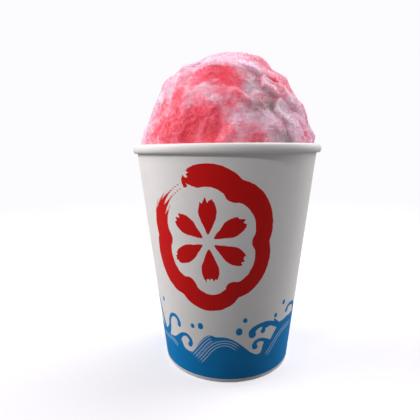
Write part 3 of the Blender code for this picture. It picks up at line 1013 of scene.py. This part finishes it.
def needle(rng, count):
    """Long double pyramids on a small triangle, bent at the middle."""
    angle = np.arange(3) * math.tau / 3 + rng.uniform(-0.4, 0.4, (count, 3))
    thick = rng.uniform(0.08, 0.16, (count, 1))
    waist = np.stack([rng.uniform(-0.1, 0.1, (count, 3)), thick * np.cos(angle), thick * np.sin(angle)], -1)
    ends = np.zeros((count, 2, 3))
    ends[:, :, 0] = 0.5, -0.5
    ends[:, :, 2] = rng.uniform(-0.16, 0.0, (count, 1))
    sides = [(3, 0, 1), (3, 1, 2), (3, 2, 0), (4, 1, 0), (4, 2, 1), (4, 0, 2)]
    return np.concatenate([waist, ends], 1), sides


def grain(rng, count):
    """Squashed octahedra with uneven corners."""
    corners = np.array([(1, 0, 0), (0, 1, 0), (-1, 0, 0), (0, -1, 0), (0, 0, 0.7), (0, 0, -0.7)]) * 0.5
    uneven = corners * rng.uniform(0.6, 1.1, (count, 6, 1)) + rng.normal(0, 0.05, (count, 6, 3))
    return uneven, [(4, 0, 1), (4, 1, 2), (4, 2, 3), (4, 3, 0), (5, 1, 0), (5, 2, 1), (5, 3, 2), (5, 0, 3)]


def crumb(rng, count):
    """Uneven tetrahedra."""
    corners = np.array([(1, 1, 1), (1, -1, -1), (-1, 1, -1), (-1, -1, 1)]) * 0.3
    uneven = corners * rng.uniform(0.6, 1.2, (count, 4, 1))
    return uneven, [(0, 1, 2), (0, 3, 1), (0, 2, 3), (1, 3, 2)]


# %% Lay them on the ice


def patchy_directions(rng, count):
    """Directions over the dome, even by area but for patches that hold more or fewer."""
    turn, height = rng.uniform(-180, 180, 3 * count), rng.uniform(0, 1, 3 * count)
    directions = unit(turn, np.degrees(np.arcsin(height)))
    patch = noise(directions * DOME_RADIUS, 6 * MM, 31) + 0.5 * noise(directions * DOME_RADIUS, 2.5 * MM, 32)
    chance = 0.25 * patch - 0.3 * soak(directions * DOME_RADIUS + [0, 0, DOME_FOOT])[1]
    return directions[np.argsort(rng.uniform(0, 1, 3 * count) - chance, kind="stable")[:count]]


def lay_on_ice(name, seed, form, count, sizes, sink, lean):
    """Join many copies of a small form, laid on the ice's surface, into one piece. The lean is
    how far their own normals may stray from the surface's."""
    rng = np.random.default_rng(seed)
    out = patchy_directions(rng, count)
    places = ice_surface(out) + out * rng.uniform(-sink, sink / 4, (count, 1))
    own = normalised(out + rng.normal(0, 1, out.shape) * rng.uniform(0.1, lean, (count, 1)))
    first = normalised(np.cross(own, rng.normal(0, 1, own.shape)))
    local, faces = form(rng, count)
    local *= sizes[0] + (sizes[1] - sizes[0]) * rng.uniform(0, 1, (count, 1, 1)) ** 1.8
    points = np.einsum("nki,nij->nkj", local, np.stack([first, np.cross(own, first), own], 1))
    corners = local.shape[1]
    every = np.array(faces)[None] + corners * np.arange(count)[:, None, None]
    mesh = bpy.data.meshes.new(name)
    mesh.from_pydata((points + places[:, None]).reshape(-1, 3).tolist(), [], every.reshape(-1, 3).tolist())
    set_soak(mesh, places, corners)
    add_piece(name, mesh, loose_ice)


lay_on_ice("ice_flakes", 21, flake, 16000, (0.7 * MM, 1.8 * MM), 0.2 * MM, 0.35)
lay_on_ice("ice_needles", 22, needle, 24000, (0.6 * MM, 1.7 * MM), 0.15 * MM, 0.4)
lay_on_ice("ice_grains", 23, grain, 24000, (0.4 * MM, 1.0 * MM), 0.2 * MM, 0.7)
lay_on_ice("ice_crumbs", 24, crumb, 40000, (0.3 * MM, 0.7 * MM), 0.15 * MM, 0.7)

# %% [markdown]
# ## Light, floor and colour
#
# The cup stands in a bright studio: white all round, with its lights high on the left and
# behind, so that its front is in soft shade and its edges glow. Broad suns stand for large
# softboxes, and a snooted lamp lights the ice alone. The floor is pale, glows faintly and
# fades out at its rim, so no horizon cuts the picture. To all but the camera it is a dim
# grey, or it would light the cup from below. The standard view transform keeps the colours as
# they were chosen.

# %% Studio
KEY = ((-82, 34), 2.9, "#fffafb")
TOP_BACK = ((142, 58), 1.7, "#ffffff")
RIM_LIGHT = ((125, 24), 2.0, "#fff9fc")
ICE_LAMP = (-28, 38)
ICE_LAMP_AWAY = 0.7
ICE_LAMP_POWER = 25.5
ICE_LAMP_REACH = 46 * MM
ICE_CENTRE = np.array([0, 0, 131 * MM])
SUN_WIDTH = math.radians(50)


def add_lamp(name, kind, aim, colour, energy):
    """A lamp that shines from a heading and an elevation towards the cup."""
    data = bpy.data.lights.new(name, kind)
    data.color = linear(colour)[:3]
    data.energy = energy
    lamp = add_object(name, data)
    lamp.rotation_euler = Vector(unit(*aim)).to_track_quat("Z", "Y").to_euler()
    return lamp


for name, (aim, energy, colour) in {"key": KEY, "top_back": TOP_BACK, "rim_light": RIM_LIGHT}.items():
    add_lamp(name, "SUN", aim, colour, energy).data.angle = SUN_WIDTH
snooted = add_lamp("ice_lamp", "SPOT", ICE_LAMP, "#fff8fa", ICE_LAMP_POWER)
snooted.location = ICE_CENTRE + unit(*ICE_LAMP) * ICE_LAMP_AWAY
snooted.data.spot_size = 2 * math.atan(ICE_LAMP_REACH / ICE_LAMP_AWAY)
snooted.data.spot_blend = 0.2
snooted.data.shadow_soft_size = 0.08

world = bpy.data.worlds.new("studio")
world.use_nodes = True
bpy.context.scene.world = world
tree = world.node_tree
backdrop = tree.nodes["Background"]
fill_sockets(backdrop, {"Color": linear("#fcfbfe")})
seen = add_node(tree, "LightPath").outputs["Is Camera Ray"]
fill = add_node(tree, "Background", {"Color": linear("#f4f6fa"), "Strength": 0.1})
choice = add_node(tree, "MixShader", {0: seen, 1: fill, 2: backdrop})
fill_sockets(tree.nodes["World Output"], {"Surface": choice})

# %% Floor
FLOOR_RINGS = (0.02, 0.1, 0.3, 1.2)
FLOOR_SIDES = 96

circle = unit(np.linspace(-180, 180, FLOOR_SIDES, endpoint=False), np.zeros(FLOOR_SIDES))
rings = np.array([circle * radius for radius in FLOOR_RINGS])
points = np.concatenate([rings.reshape(-1, 3), [(0, 0, 0)]])
disc = ring_faces(len(FLOOR_RINGS), FLOOR_SIDES, closed=False)
disc += [(j, (j + 1) % FLOOR_SIDES, len(points) - 1) for j in range(FLOOR_SIDES)]
floor_mesh = bpy.data.meshes.new("studio_floor")
floor_mesh.from_pydata(points.tolist(), [], disc)
floor = add_object("studio_floor", floor_mesh)
print("the floor has", len(disc), "faces")

# %% Finish of the floor
pale, tree, shader, place = new_material(
    "pale_floor", Roughness=0.9, Specular_IOR_Level=0.1, Base_Color=linear("#f4f3f7"),
    Emission_Color=linear("#f8f7ff"), Emission_Strength=0.12,
)
away = add_node(tree, "VectorMath", {0: place}, operation="LENGTH").outputs["Value"]
span = {"Value": away, "From Min": 0.12, "From Max": 0.7, "To Min": 0.5}
fade = add_node(tree, "MapRange", span, interpolation_type="SMOOTHSTEP")
clear = add_node(tree, "BsdfTransparent")
dim = add_node(tree, "BsdfDiffuse", {"Color": linear("#a3a3a7")})
seen = add_node(tree, "LightPath").outputs["Is Camera Ray"]
body = add_node(tree, "MixShader", {0: seen, 1: dim, 2: shader})
faded = add_node(tree, "MixShader", {0: fade, 1: body, 2: clear})
fill_sockets(tree.nodes["Material Output"], {"Surface": faded})
floor_mesh.materials.append(pale)
bpy.context.scene.view_settings.view_transform = "Standard"
